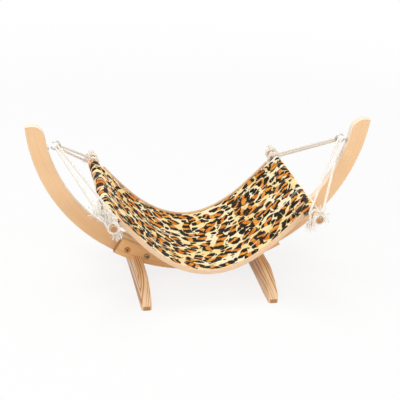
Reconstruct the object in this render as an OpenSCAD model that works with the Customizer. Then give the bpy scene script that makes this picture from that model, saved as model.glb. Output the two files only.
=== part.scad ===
// Cat hammock: a sling of printed cloth between two spreader bars, hung on cotton cords
// from a wooden bow that stands on two arched cross feet.
// X runs along the bow, Y across it, Z up; the origin is on the floor under the middle.

/* [Bow] */
// Outer radius of the bow
bow_outer_r = 366; // [345:1:400]
// Width of the bow board, measured along the radius
bow_w = 37; // [30:1:44]
// Thickness of the bow board
bow_t = 18; // [15:0.5:24]
// Height of the lowest point of the bow above the floor
bow_lift = 12; // [8:1:20]
// Angle from straight down to the end of each arm
bow_end_angle = 84.3; // [80:0.1:88]
// Radius of the rounded inner corner at the end of each arm
bow_tip_r = 27; // [15:1:30]
// Radius of the eased long edges of the bow and cheeks
edge_r = 2.5; // [1:0.5:4]

/* [Cheeks] */
// Thickness of each cheek plate
cheek_t = 12.5; // [9:0.5:16]
// Angle from straight down to each end of the cheeks
cheek_angle = 30; // [29:0.5:34]
// Angle between a cross foot and the bolt on either side of it
bolt_angle = 3.8; // [3.5:0.1:4.3]

/* [Cross feet] */
// Angle from straight down to the middle of each cross foot
foot_angle = 22.5; // [20:0.5:24]
// Thickness of a cross foot
foot_t = 20.5; // [17:0.5:22]
// Length of a cross foot
foot_len = 332; // [290:2:380]
// Height of the top of a cross foot
foot_h = 49; // [47:0.5:52]
// Radius of the shoulders that bend down to the ends of a cross foot
foot_shoulder_r = 120; // [100:2:150]
// Height of the end faces of a cross foot
foot_end_h = 8; // [6:0.5:12]
// Radius of the rounded upright corners of a cross foot
foot_corner_r = 5; // [3:0.5:7]
// Height of the flat seat that carries the bow
foot_seat_z = 43; // [42:0.5:44.5]
// Width of the hollow under a cross foot
foot_hollow_w = 236; // [200:2:260]
// Height of the hollow under a cross foot
foot_hollow_h = 6; // [4:0.5:10]

/* [Fasteners] */
// Diameter of the cheek bolts
bolt_d = 6; // [5:0.5:7]
// Diameter of the sleeve nuts
sleeve_d = 8.8; // [8:0.2:10]
// Diameter of the flat heads of bolts and sleeve nuts
bolt_head_d = 12; // [11:0.5:15]
// Thickness of those heads
bolt_head_h = 2; // [1.5:0.1:3]
// Width across the hexagon key sockets, corner to corner
key_d = 4.6; // [4:0.1:5.5]
// Diameter of the foot screws
screw_d = 5; // [4:0.5:6]
// Depth that a foot screw reaches into the bow
screw_grip = 24; // [16:1:28]

/* [Hooks] */
// Angle from straight down to each hook
hook_angle = 75.3; // [72:0.1:78]
// Diameter of the hook wire
hook_wire_d = 3.5; // [3:0.1:4]
// Mean radius of the hook's eye
hook_eye_r = 9; // [8.5:0.1:11]
// Clear length of the hook's neck
hook_neck = 6; // [3:0.5:8]
// Depth of the hook's thread in the bow
hook_thread = 24; // [16:1:28]
// Angle of the opening in the hook's eye
hook_open_angle = 58; // [40:1:80]

/* [Bars and cords] */
// Length of a spreader bar
bar_len = 378; // [376:2:400]
// Diameter of a spreader bar
bar_d = 14; // [12:0.5:18]
// Distance from the middle to each spreader bar
bar_x = 207; // [195:1:220]
// Height of the spreader bars
bar_z = 196; // [188:1:206]
// Diameter of the cotton cord
cord_d = 5.4; // [4.6:0.1:5.6]
// Length of a frayed cord tail
tail_len = 32; // [24:1:38]
// Diameter of a tail's frayed end
tail_d = 15; // [10:0.5:16]

/* [Sling] */
// Width of the sling cloth without its edge binding
cloth_w = 276; // [240:2:280]
// Thickness of the printed cloth
cloth_t = 3; // [2:0.5:4]
// Thickness of the lining
lining_t = 2; // [1.5:0.5:3]
// Height of the lowest point of the cloth's long edges
cloth_edge_z = 68; // [66:1:80]
// How much lower the cloth hangs in its middle
cloth_dip = 6; // [0:0.5:8]
// Length of the sewn sleeve, from the bar to its seam
sleeve_len = 28; // [20:1:36]
// Number of lengthwise folds across the cloth
fold_count = 3; // [2:1:4]
// Height of the folds
fold_h = 3; // [0:0.5:4]
// Width of the edge binding tape
binding_w = 5; // [4:0.5:6]
// Height of the edge binding tape
binding_h = 10; // [7:0.5:12]

/* [Hidden] */
$fn = 96;

// Clearances: wood to wood, fastener in its hole, soft pieces to their neighbours
fit_gap = 0.2;
hole_gap = 0.25;
soft_gap = 0.35;
// Overrun of every cut past the face that it opens
overrun = 4;
// Colours of the pieces
pine = [0.93, 0.78, 0.58];
pine_dark = [0.86, 0.68, 0.46];
bronze = [0.45, 0.36, 0.26];
zinc = [0.75, 0.75, 0.73];
cotton = [0.96, 0.94, 0.9];
print_gold = [0.8, 0.62, 0.36];
cream = [0.95, 0.86, 0.72];

// Bow: centre of the circle, inner and middle radius
bow_inner_r = bow_outer_r - bow_w;
bow_mid_r = bow_outer_r - bow_w / 2;
bow_centre_z = bow_lift + bow_outer_r;
bow_start_angle = asin(fit_gap / 2 / bow_inner_r);
// Stack of bow and cheeks, from the middle plane outward
cheek_y = bow_t / 2 + fit_gap;
stack_half = cheek_y + cheek_t;
// Cross feet
foot_x = bow_mid_r * sin(foot_angle);
foot_shoulder_z = foot_h - foot_shoulder_r;
foot_shoulder_y = foot_len / 2 - sqrt(pow(foot_shoulder_r, 2) - pow(foot_end_h - foot_shoulder_z, 2));
foot_hollow_r = (pow(foot_hollow_w / 2, 2) + pow(foot_hollow_h, 2)) / (2 * foot_hollow_h);
// Foot screws: head, its recess and the height of the head's seat
screw_head_d = 2 * screw_d;
screw_head_h = 0.7 * screw_d;
screw_seat_z = foot_hollow_h + screw_head_h + fit_gap;
// Bolts: angles along the bow, and where the thread runs inside the sleeve nut
bolt_angles = [for (side = [-1, 1], step = [-1, 1]) side * foot_angle + step * bolt_angle];
thread_share = 0.7;
// Hooks and the pull of the cords, in the plane of the bow (x, z), for the right side
function bow_point(r, angle) = [r * sin(angle), bow_centre_z - r * cos(angle)];
function unit(v) = v / norm(v);
hook_base = bow_point(bow_inner_r, hook_angle);
hook_reach = hook_neck + hook_wire_d / 2 + hook_eye_r;
hook_centre = hook_base + hook_reach * [-sin(hook_angle), cos(hook_angle)];
shank_share = 0.88;
shank_d = shank_share * hook_wire_d;
collar_d = 2.6 * hook_wire_d;
collar_h = hook_wire_d / 2;
bar_at = [bar_x, bar_z];
pull = unit(bar_at - hook_centre);
lift = [pull[1], -pull[0]];
// The hammock swings on the hook wire that carries the cords
pivot = hook_centre + hook_eye_r * pull;
bar_reach = norm(bar_at - pivot);
// Cords: lanes in the hook, radius over the hook wire and round the bar, step of the turns
lane = (cord_d + cord_d / 8) / 2;
hook_turn_r = (hook_wire_d + cord_d) / 2 + 3 * soft_gap;
bar_turn_r = (bar_d + cord_d) / 2 + soft_gap;
turn_step = 1.14 * cord_d;
// Room for the lower cord to slant past the upper cord's last turn
pass_room = 1.2 * cord_d;
turn_rings = 24;
hook_rings = 6;
tail_rings = 5;
cord_sides = 6;
// Share of a turn in which the cord swings from its slant into the turns round the bar
settle_share = 0.06;
// Outward lean of the tails, and angle above level at which the lower cord's tail sticks out
tail_lean_share = 0.1;
tail_rise_angle = 45;
// Sling: sleeve round the bar and slope where the cloth leaves it, in line with the cords
sleeve_r = bar_d / 2 + soft_gap + cloth_t / 2;
slope_angle = atan2(-pull[1], -pull[0]);
slope_along = [-cos(slope_angle), -sin(slope_angle)];
slope_across = [-sin(slope_angle), cos(slope_angle)];
trough_x = bar_x + sleeve_r * slope_across[0];
trough_z = bar_z + sleeve_r * slope_across[1];
trough_steps = 12;
sleeve_steps = 8;
cloth_steps = 12;
binding_steps = 24;
binding_sides = 6;
// Seam of the sleeve, measured from the bar along and across the sloping cloth
seam_at = [sleeve_len, sleeve_r - cloth_t - soft_gap];
seam_angle = atan2(seam_at[1], seam_at[0]) - acos(sleeve_r / norm(seam_at));
lining_x = trough_x + sleeve_len * slope_along[0] - cloth_t;
edge_y = cloth_w / 2 + soft_gap + binding_w / 2;
binding_reach = 1 - (bar_d + binding_h) / 2 / trough_x;
cord_first_y = edge_y + binding_w / 2 + cord_d;

// Helpers

// Children at the right side, or mirrored to the left
module on_side(side) {
  if (side > 0) children();
  else mirror([1, 0, 0]) children();
}

// Children drawn in the plane of the bow stand upright, with the circle's centre as origin
module in_bow_plane() {
  translate([0, 0, bow_centre_z]) rotate([90, 0, 0]) rotate([0, 0, -90]) children();
}

// Rectangle with round corners
module eased_rect(w, h, r) {
  square([w - 2 * r, h], center = true);
  square([w, h - 2 * r], center = true);
  for (sx = [-1, 1], sy = [-1, 1])
    translate([sx * (w / 2 - r), sy * (h / 2 - r)]) circle(r);
}

// Curved board of the bow's radius between two angles from straight down
module curved_board(from_angle, to_angle, thickness) {
  rotate([0, 0, from_angle]) rotate_extrude(angle = to_angle - from_angle)
    translate([bow_mid_r, 0]) eased_rect(bow_w, thickness, edge_r);
}

// Children placed at an angle of the bow on its middle radius
module at_bow_angle(angle) {
  rotate([0, 0, angle]) translate([bow_mid_r, 0, 0]) children();
}

// Room for a cross foot in the underside of the bow and cheeks
module foot_housing(side) {
  room_w = foot_t + 2 * fit_gap;
  room_l = 2 * (stack_half + overrun);
  translate([side * foot_x, 0, foot_seat_z / 2 - overrun / 2])
    cube([room_w, room_l, foot_seat_z + overrun], center = true);
}

// Waste at the inner corner of an arm's end, bounded by a fillet that meets the inner face
module tip_waste() {
  centre_r = sqrt(pow(bow_inner_r + bow_tip_r, 2) - pow(bow_tip_r, 2));
  touch_angle = asin(bow_tip_r / (bow_inner_r + bow_tip_r));
  low_r = bow_inner_r - overrun;
  linear_extrude(bow_t + 2 * overrun, center = true) difference() {
    polygon([
      [centre_r, overrun],
      [centre_r, -bow_tip_r],
      [low_r * cos(touch_angle), -low_r * sin(touch_angle)],
      [low_r, overrun]
    ]);
    translate([centre_r, -bow_tip_r]) circle(bow_tip_r);
  }
}

// Soft forms: tubes swept along points, and sheets with a thickness

function tangents(p) = [
  for (i = [0 : len(p) - 1]) unit(p[min(i + 1, len(p) - 1)] - p[max(i - 1, 0)])
];

// Normals carried from ring to ring without twist
function carried(t, first) = [
  for (i = 0, n = first; i < len(t); i = i + 1, n = carried_step(n, t[min(i, len(t) - 1)])) n
];
function carried_step(n, t) = unit(n - (n * t) * t);

// Tube along points p with a radius at each point; squash flattens it along the first normal
module tube(p, radii, sides, first, squash = 1) {
  t = tangents(p);
  n = carried(t, carried_step(first, t[0]));
  last = (len(p) - 1) * sides;
  points = [
    for (i = [0 : len(p) - 1], k = [0 : sides - 1])
      p[i] + radii[i] * (squash * cos(360 * k / sides) * n[i] + sin(360 * k / sides) * cross(t[i], n[i]))
  ];
  skin = [
    for (i = [0 : len(p) - 2], k = [0 : sides - 1])
      let (a = i * sides + k, b = i * sides + (k + 1) % sides)
        each [[a, b + sides, b], [a, a + sides, b + sides]]
  ];
  caps = [
    for (k = [1 : sides - 2]) each [[0, k, k + 1], [last, last + k + 1, last + k]]
  ];
  polyhedron(points, concat(skin, caps));
}

// Sheet of the given thickness round a grid of middle points, rows along X and columns along Y
module sheet(grid, thickness) {
  rows = len(grid);
  cols = len(grid[0]);
  half = rows * cols;
  normal = [
    for (i = [0 : rows - 1], j = [0 : cols - 1])
      unit(cross(
        grid[min(i + 1, rows - 1)][j] - grid[max(i - 1, 0)][j],
        grid[i][min(j + 1, cols - 1)] - grid[i][max(j - 1, 0)]
      ))
  ];
  middle = [for (row = grid) each row];
  points = [
    for (side = [1, -1], k = [0 : half - 1]) middle[k] + side * thickness / 2 * normal[k]
  ];
  faces_flat = [
    for (i = [0 : rows - 2], j = [0 : cols - 2])
      let (a = i * cols + j, b = a + 1, c = a + cols + 1, d = a + cols)
        each [[a, b, c], [a, c, d], [half + a, half + c, half + b], [half + a, half + d, half + c]]
  ];
  faces_long = [
    for (i = [0 : rows - 2])
      let (a = i * cols, b = a + cols, c = a + cols - 1, d = c + cols)
        each [[a, b, half + b], [a, half + b, half + a], [c, half + d, d], [c, half + c, half + d]]
  ];
  faces_short = [
    for (j = [0 : cols - 2])
      let (a = j, b = j + 1, c = (rows - 1) * cols + j, d = c + 1)
        each [[b, a, half + a], [b, half + a, half + b], [d, half + c, c], [d, half + d, half + c]]
  ];
  polyhedron(points, concat(faces_flat, faces_long, faces_short));
}

// Route of one cord, from its tail round the bar, up to the hook and down to the other end.
// Places are given as distance along the pull, height across it, and Y.

function to_world(q) =
  let (xz = pivot + q[0] * pull + q[1] * lift) [xz[0], q[2], xz[1]];

// Half of the route at positive Y; level is 1 for the upper cord and -1 for the lower one
function cord_half(level, first_y) =
  let (
    bend_t = sqrt(pow(hook_eye_r, 2) - pow(lane, 2)) - hook_eye_r,
    run = [bar_reach - bend_t, first_y],
    leave_angle = atan2(run[0], run[1]) + asin(hook_turn_r / norm(run)),
    leave = [bend_t - hook_turn_r * cos(leave_angle), level * lane],
    to_bar = [bar_reach - leave[0], -leave[1]],
    start_angle = atan2(to_bar[1], to_bar[0]) + level * (180 - acos(bar_turn_r / norm(to_bar))),
    down_angle = atan2(-lift[1], -pull[1]),
    tail_angle = level > 0 ? down_angle - 270 : slope_angle - tail_rise_angle + 450,
    sweep = level * (start_angle - tail_angle),
    slant = cos(leave_angle) / sin(leave_angle),
    settle = settle_share * 360,
    surge = settle * (slant * bar_turn_r * PI / 180 - turn_step / 360),
    turns = ceil(turn_rings * sweep / 360),
    hook_part = [
      for (i = [0 : hook_rings])
        let (a = leave_angle * i / hook_rings)
          [bend_t - hook_turn_r * cos(a), level * lane, hook_turn_r * sin(a)]
    ],
    bar_part = [
      for (i = [0 : turns])
        let (turn = sweep * i / turns, a = start_angle - level * turn)
          [
            bar_reach + bar_turn_r * cos(a),
            bar_turn_r * sin(a),
            first_y + turn_step * turn / 360 + surge * (1 - exp(-turn / settle))
          ]
    ],
    tail_way = unit([level * sin(tail_angle), -level * cos(tail_angle), tail_lean_share]),
    tail_part = [for (i = [1 : tail_rings]) bar_part[turns] + tail_len * i / tail_rings * tail_way]
  )
  concat(hook_part, bar_part, tail_part);

function cord_route(level, first_y) =
  let (half = cord_half(level, first_y), n = len(half))
  [
    for (i = [n - 1 : -1 : 1]) to_world([half[i][0], half[i][1], -half[i][2]]),
    for (i = [0 : n - 1]) to_world(half[i])
  ];

// Radius along a route: the cord's own, flaring over the tails
function cord_radii(n) = [
  for (i = [0 : n - 1])
    let (from_end = min(i, n - 1 - i), flare = max(0, 1 - from_end / (tail_rings - 1)))
      cord_d / 2 + (tail_d - cord_d) / 2 * flare
];

// The lower cord winds on outside the last turn of the upper one
upper_half = cord_half(1, cord_first_y);
first_cord_end = upper_half[len(upper_half) - 1 - tail_rings][2];
upper_route = cord_route(1, cord_first_y);
lower_route = cord_route(-1, first_cord_end + turn_step + pass_room);

// Least clear distance of a route to itself, leaving out neighbours within half a turn
function least_gap(p, apart) =
  let (r = cord_radii(len(p)))
  min([for (i = [0 : len(p) - 1], k = [i + apart : 1 : len(p) - 1]) norm(p[i] - p[k]) - r[i] - r[k]]);
function route_length(p, i = 1) = i < len(p) ? norm(p[i] - p[i - 1]) + route_length(p, i + 1) : 0;
echo(upper_cord_gap = least_gap(upper_route, turn_rings / 2), upper_cord_length = route_length(upper_route));
echo(lower_cord_gap = least_gap(lower_route, turn_rings / 2), lower_cord_length = route_length(lower_route));

// Sling: height of the trough at a share of the half span, across the width from -1 to 1
function trough_height(along, across) =
  let (
    low = cloth_edge_z - cloth_dip * (1 - across * across),
    rise = trough_z - low,
    bow_share = tan(slope_angle) * trough_x / (2 * rise) - 1,
    s = along * along,
    fold = fold_h * cos(180 * fold_count * across) * 4 * s * (1 - s)
  )
  low + rise * ((1 - bow_share) * s + bow_share * s * s) + fold * (1 - s);

// Right half of a lengthwise line of the cloth: trough, sleeve round the bar, run to the seam
function sling_half(across) =
  let (
    sleeve_from = 90,
    sleeve_to = 360 + seam_angle,
    in_bar = function (q) bar_at + q[0] * slope_along + q[1] * slope_across
  )
  concat(
    [for (i = [1 : trough_steps - 1])
      let (s = i / trough_steps) [s * trough_x, trough_height(s, across)]],
    [for (i = [0 : sleeve_steps])
      let (a = sleeve_from + (sleeve_to - sleeve_from) * i / sleeve_steps)
        in_bar(sleeve_r * [cos(a), sin(a)])],
    [in_bar(seam_at)]
  );

function sling_line(across) =
  let (half = sling_half(across), n = len(half))
  [
    for (i = [n - 1 : -1 : 0]) [-half[i][0], half[i][1]],
    [0, trough_height(0, across)],
    for (i = [0 : n - 1]) half[i]
  ];

sling_lines = [for (j = [0 : cloth_steps]) sling_line(2 * j / cloth_steps - 1)];
sling_grid = [
  for (i = [0 : len(sling_lines[0]) - 1])
    [for (j = [0 : cloth_steps])
      [sling_lines[j][i][0], (j / cloth_steps - 0.5) * cloth_w, sling_lines[j][i][1]]]
];
lining_drop = (cloth_t + lining_t) / 2 + soft_gap;
lining_grid = [
  for (i = [-trough_steps : trough_steps])
    [for (j = [0 : cloth_steps])
      let (
        s = i / trough_steps * lining_x / trough_x,
        ds = 0.5 / trough_steps,
        across = 2 * j / cloth_steps - 1,
        grade = (trough_height(s + ds, across) - trough_height(s - ds, across)) / (2 * ds * trough_x),
        drop = lining_drop / sqrt(1 + grade * grade)
      )
        [s * trough_x + grade * drop, across * cloth_w / 2, trough_height(s, across) - drop]]
];

// Frame

module bow_half(side) {
  color(pine) difference() {
    on_side(side) in_bow_plane() difference() {
      curved_board(bow_start_angle, bow_end_angle, bow_t);
      rotate([0, 0, bow_end_angle]) tip_waste();
    }
    foot_housing(side);
    in_bow_plane() for (angle = bolt_angles)
      at_bow_angle(angle) cylinder(d = sleeve_d + 2 * hole_gap, h = bow_t + 2 * overrun, center = true);
    translate([side * foot_x, 0, 0])
      cylinder(d = screw_d + 2 * hole_gap, h = foot_seat_z + screw_grip + hole_gap);
    on_side(side) in_bow_plane() rotate([0, 0, hook_angle]) translate([bow_inner_r, 0, 0])
      rotate([0, 90, 0]) translate([0, 0, -overrun])
        cylinder(d = shank_d + 2 * hole_gap, h = overrun + hook_thread + hole_gap);
  }
}

module bow_left() { bow_half(-1); }
module bow_right() { bow_half(1); }

module cheek(side, hole_d) {
  color(pine_dark) difference() {
    translate([0, side * (cheek_y + cheek_t / 2), 0]) in_bow_plane()
      curved_board(-cheek_angle, cheek_angle, cheek_t);
    for (foot_side = [-1, 1]) foot_housing(foot_side);
    in_bow_plane() for (angle = bolt_angles)
      at_bow_angle(angle) cylinder(d = hole_d + 2 * hole_gap, h = 2 * (stack_half + overrun), center = true);
  }
}

module cheek_front() { cheek(-1, bolt_d); }
module cheek_back() { cheek(1, sleeve_d); }

// Section of a cross foot with eased edges, from half the shoulder radius out to its top
module foot_section() {
  translate([foot_shoulder_r * 3 / 4, 0]) eased_rect(foot_shoulder_r / 2, foot_t, edge_r);
}

// Cross foot before its cuts: a flat top between two round shoulders, drawn lying on its side
module foot_blank() {
  translate([-foot_shoulder_y, foot_shoulder_z, 0]) rotate([90, 0, 90])
    linear_extrude(2 * foot_shoulder_y) foot_section();
  for (end = [0, 1])
    mirror([end, 0, 0]) translate([foot_shoulder_y, foot_shoulder_z, 0])
      rotate_extrude(angle = 90) foot_section();
}

// Waste outside the rounded upright corners at the ends of a cross foot
module foot_corner_waste() {
  cut = foot_corner_r + overrun;
  linear_extrude(foot_h) for (sx = [-1, 1], sy = [-1, 1])
    translate([sx * (foot_t / 2 - foot_corner_r), sy * (foot_len / 2 - foot_corner_r)]) difference() {
      translate([min(0, sx) * cut, min(0, sy) * cut]) square(cut);
      circle(foot_corner_r);
    }
}

module cross_foot(side) {
  seat_w = 2 * (stack_half + fit_gap);
  color(pine_dark) translate([side * foot_x, 0, 0]) difference() {
    intersection() {
      rotate([90, 0, 90]) foot_blank();
      translate([-foot_t, -foot_len / 2, 0]) cube([2 * foot_t, foot_len, foot_h + overrun]);
    }
    translate([0, 0, foot_hollow_h - foot_hollow_r]) rotate([0, 90, 0])
      cylinder(r = foot_hollow_r, h = 2 * foot_t, center = true, $fn = 360);
    translate([-foot_t, -seat_w / 2, foot_seat_z - fit_gap]) cube([2 * foot_t, seat_w, foot_h]);
    foot_corner_waste();
    cylinder(d = screw_d + 2 * hole_gap, h = foot_h + overrun);
    cylinder(d = screw_head_d + 2 * hole_gap, h = screw_seat_z);
  }
}

module foot_left() { cross_foot(-1); }
module foot_right() { cross_foot(1); }

// Bolt from the front, with a flat head and a hexagon socket
module cheek_bolt() {
  head_y = stack_half + fit_gap;
  socket_depth = 0.7 * bolt_head_h;
  thread_end = stack_half * thread_share;
  difference() {
    union() {
      translate([0, 0, head_y]) cylinder(d = bolt_head_d, h = bolt_head_h);
      translate([0, 0, -thread_end]) cylinder(d = bolt_d, h = head_y + thread_end + bolt_head_h / 2);
    }
    translate([0, 0, head_y + bolt_head_h - socket_depth])
      cylinder(d = key_d, h = socket_depth + overrun, $fn = 6);
  }
}

// Sleeve nut from the back, bored for the bolt
module sleeve_nut() {
  head_y = stack_half + fit_gap;
  sleeve_from = -cheek_y * thread_share;
  difference() {
    union() {
      translate([0, 0, -head_y - bolt_head_h]) cylinder(d = bolt_head_d, h = bolt_head_h);
      translate([0, 0, -head_y - bolt_head_h / 2])
        cylinder(d = sleeve_d, h = head_y + bolt_head_h / 2 - sleeve_from);
    }
    translate([0, 0, -head_y]) cylinder(d = bolt_d + 2 * hole_gap, h = 2 * head_y);
    translate([0, 0, -head_y - bolt_head_h - overrun])
      cylinder(d = key_d, h = overrun + bolt_head_h, $fn = 6);
  }
}

module cheek_bolts() {
  color(bronze) in_bow_plane() for (angle = bolt_angles) at_bow_angle(angle) cheek_bolt();
}

module sleeve_nuts() {
  color(bronze) in_bow_plane() for (angle = bolt_angles) at_bow_angle(angle) sleeve_nut();
}

module foot_screws() {
  head_z = screw_seat_z - fit_gap - screw_head_h;
  color(zinc) for (side = [-1, 1]) translate([side * foot_x, 0, head_z]) difference() {
    union() {
      cylinder(d = screw_head_d, h = screw_head_h);
      cylinder(d = screw_d, h = foot_seat_z + screw_grip - head_z);
    }
    translate([0, 0, -overrun]) cylinder(d = key_d, h = overrun + screw_head_h / 2, $fn = 6);
  }
}

// Open screw hook: thread in the wood, collar, neck and an eye that opens beside the neck
module screw_hook(side) {
  eye_angle = 270 + hook_angle;
  color(zinc) on_side(side) translate([hook_centre[0], 0, hook_centre[1]]) {
    rotate([90, 0, 0]) rotate([0, 0, eye_angle - 360 + hook_open_angle])
      rotate_extrude(angle = 360 - hook_open_angle) translate([hook_eye_r, 0]) circle(d = hook_wire_d);
    rotate([0, 180 - hook_angle, 0]) {
      translate([0, 0, hook_eye_r]) cylinder(d = shank_d, h = hook_reach - hook_eye_r + hook_thread);
      translate([0, 0, hook_reach - fit_gap - collar_h]) cylinder(d = collar_d, h = collar_h);
    }
  }
}

module hook_left() { screw_hook(-1); }
module hook_right() { screw_hook(1); }

// Hammock

module bar(side) {
  round_r = bar_d / 6;
  color(pine) translate([side * bar_x, 0, bar_z]) rotate([90, 0, 0]) rotate_extrude() {
    translate([0, -bar_len / 2]) square([bar_d / 2 - round_r, bar_len]);
    translate([0, round_r - bar_len / 2]) square([bar_d / 2, bar_len - 2 * round_r]);
    for (end = [-1, 1])
      translate([bar_d / 2 - round_r, end * (bar_len / 2 - round_r)]) circle(round_r);
  }
}

module bar_left() { bar(-1); }
module bar_right() { bar(1); }

module cord(side, route) {
  color(cotton) on_side(side) tube(route, cord_radii(len(route)), cord_sides, [1, 0, 0]);
}

module cord_left_upper() { cord(-1, upper_route); }
module cord_left_lower() { cord(-1, lower_route); }
module cord_right_upper() { cord(1, upper_route); }
module cord_right_lower() { cord(1, lower_route); }

module sling_cloth() { color(print_gold) sheet(sling_grid, cloth_t); }
module sling_lining() { color(cream) sheet(lining_grid, lining_t); }

// Binding tape along a long edge, from sleeve to sleeve
module binding(side) {
  route = [
    for (i = [0 : binding_steps])
      let (s = (2 * i / binding_steps - 1) * binding_reach) [s * trough_x, side * edge_y, trough_height(s, 1)]
  ];
  color(cream) tube(
    route, [for (p = route) binding_h / 2], binding_sides, [0, 1, 0], binding_w / binding_h
  );
}

module binding_front() { binding(-1); }
module binding_back() { binding(1); }

bow_left();
bow_right();
cheek_front();
cheek_back();
foot_left();
foot_right();
cheek_bolts();
sleeve_nuts();
foot_screws();
hook_left();
hook_right();
bar_left();
bar_right();
cord_left_upper();
cord_left_lower();
cord_right_upper();
cord_right_lower();
sling_cloth();
sling_lining();
binding_front();
binding_back();
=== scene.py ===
import math

import bpy
import numpy as np
from mathutils import Matrix, Vector


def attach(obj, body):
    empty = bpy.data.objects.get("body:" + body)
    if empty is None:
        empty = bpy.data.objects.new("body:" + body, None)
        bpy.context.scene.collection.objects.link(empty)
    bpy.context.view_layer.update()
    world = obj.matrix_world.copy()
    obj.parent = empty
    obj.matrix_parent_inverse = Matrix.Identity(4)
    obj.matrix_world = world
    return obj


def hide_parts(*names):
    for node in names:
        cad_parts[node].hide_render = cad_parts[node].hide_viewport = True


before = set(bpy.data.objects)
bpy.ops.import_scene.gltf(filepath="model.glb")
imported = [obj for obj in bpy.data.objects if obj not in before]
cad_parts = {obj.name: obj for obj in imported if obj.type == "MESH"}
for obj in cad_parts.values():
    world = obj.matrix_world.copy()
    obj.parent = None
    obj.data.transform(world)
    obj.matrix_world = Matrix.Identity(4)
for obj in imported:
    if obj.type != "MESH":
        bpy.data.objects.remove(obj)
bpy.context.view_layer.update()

rng = np.random.default_rng(41)
MM = 0.001

# Sizes of the solids, in millimetres and degrees
BOW_R, BOW_W, BOW_T, BOW_Z = 366, 37, 18, 378
CHEEK_ANGLE, FOOT_ANGLE, BOLT_ANGLE = 30, 22.5, 3.8
BOLT_HEAD_D, KEY_D = 12, 4.6
FOOT_X, FOOT_H, FOOT_LEN = 132.983, 49, 332
HOOK_EYE_R, HOOK_TURN_R = 9, 5.5
HOOK_CENTRE = np.array([302.0294, 298.7640])
BAR = np.array([207.0, 196.0])
BAR_D, BAR_LEN = 14, 378
CORD_D, TAIL_LEN = 5.4, 32
BAR_TURN_R, TURN_STEP, PASS_ROOM, LANE = 10.05, 6.156, 6.48, 3.0375
SETTLE, TAIL_LEAN, TAIL_RISE = 21.6, 0.1, 45
CLOTH_HALF_W, EDGE_Z, DIP = 138, 68, 6
FOLDS, FOLD_H = 3, 3
SLEEVE_R, SEAM = 8.85, np.array([28, 5.5])
EDGE_Y, BINDING_W, BINDING_H = 140.85, 5, 10
CLOTH_T, LINING_DROP = 3, 2.85

# Sizes of the looks alone
PATH_STEP, STITCH_STEP = 1.1, 4.4
STUB_LEN, ROPE_LAY = 9, 3.6 * CORD_D
PRINT_T, LINING_T = 2.2, 1.4
FLAT_U, FLAT_V = 400, 200

BOW_MID_R = BOW_R - BOW_W / 2
UPPER_FIRST_Y = EDGE_Y + BINDING_W / 2 + CORD_D

# Directions in the plane of the bow, right side: along the cords, and square to them
PULL = (BAR - HOOK_CENTRE) / np.linalg.norm(BAR - HOOK_CENTRE)
LIFT = np.array([PULL[1], -PULL[0]])
PIVOT = HOOK_CENTRE + HOOK_EYE_R * PULL
SLOPE = math.atan2(-PULL[1], -PULL[0])
DOWN = np.array([-math.cos(SLOPE), -math.sin(SLOPE)])
OUT = np.array([-math.sin(SLOPE), math.cos(SLOPE)])
TROUGH_X, TROUGH_Z = BAR + SLEEVE_R * OUT
LINING_X = TROUGH_X + SEAM[0] * DOWN[0] - CLOTH_T
BINDING_REACH = 1 - (BAR_D + BINDING_H) / 2 / TROUGH_X


# Camera

def photo_camera():
    """Camera at the photograph's angle: it looks at a point over the middle of the floor."""
    azimuth, elevation, roll = np.radians([-13.1, 23.5, 3.2])
    photo_px, focal_px, centre_px, distance = 400, 1036, (199, 194), 2.2
    back = Vector((math.sin(azimuth) * math.cos(elevation),
                   -math.cos(azimuth) * math.cos(elevation), math.sin(elevation)))
    level = Vector((math.cos(azimuth), math.sin(azimuth), 0))
    upright = back.cross(level)
    side = level * math.cos(roll) + upright * math.sin(roll)
    top = upright * math.cos(roll) - level * math.sin(roll)
    data = bpy.data.cameras.new("camera")
    data.sensor_width = 36
    data.lens = focal_px * data.sensor_width / photo_px
    data.shift_x = (photo_px / 2 - centre_px[0]) / photo_px
    data.shift_y = (centre_px[1] - photo_px / 2) / photo_px
    cam = bpy.data.objects.new("camera", data)
    bpy.context.scene.collection.objects.link(cam)
    turn = Matrix((side, top, back)).transposed().to_4x4()
    cam.matrix_world = Matrix.Translation(Vector((0, 0, 0.18)) + back * distance) @ turn
    bpy.context.scene.camera = cam


# Meshes

def unit(v):
    """Vectors brought to length one."""
    return v / np.linalg.norm(v, axis=-1, keepdims=True)


def gone_along(path):
    """Length gone along a path at each of its points."""
    return np.concatenate([[0], np.cumsum(np.linalg.norm(np.diff(path, axis=0), axis=1))])


def grid_normal(grid):
    """Directions of length one square to a grid of points: rows x columns."""
    return unit(np.cross(np.gradient(grid, axis=0), np.gradient(grid, axis=1)))


def grid_faces(rows, cols, wrap=False):
    """Quads of a grid of points, with the row and the column, before wrapping, of each corner."""
    i, j = np.meshgrid(np.arange(rows - 1), np.arange(cols if wrap else cols - 1), indexing="ij")
    r = np.stack([i, i + 1, i + 1, i], -1).reshape(-1, 4)
    c = np.stack([j, j, j + 1, j + 1], -1).reshape(-1, 4)
    return r * cols + c % cols, r, c


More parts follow.
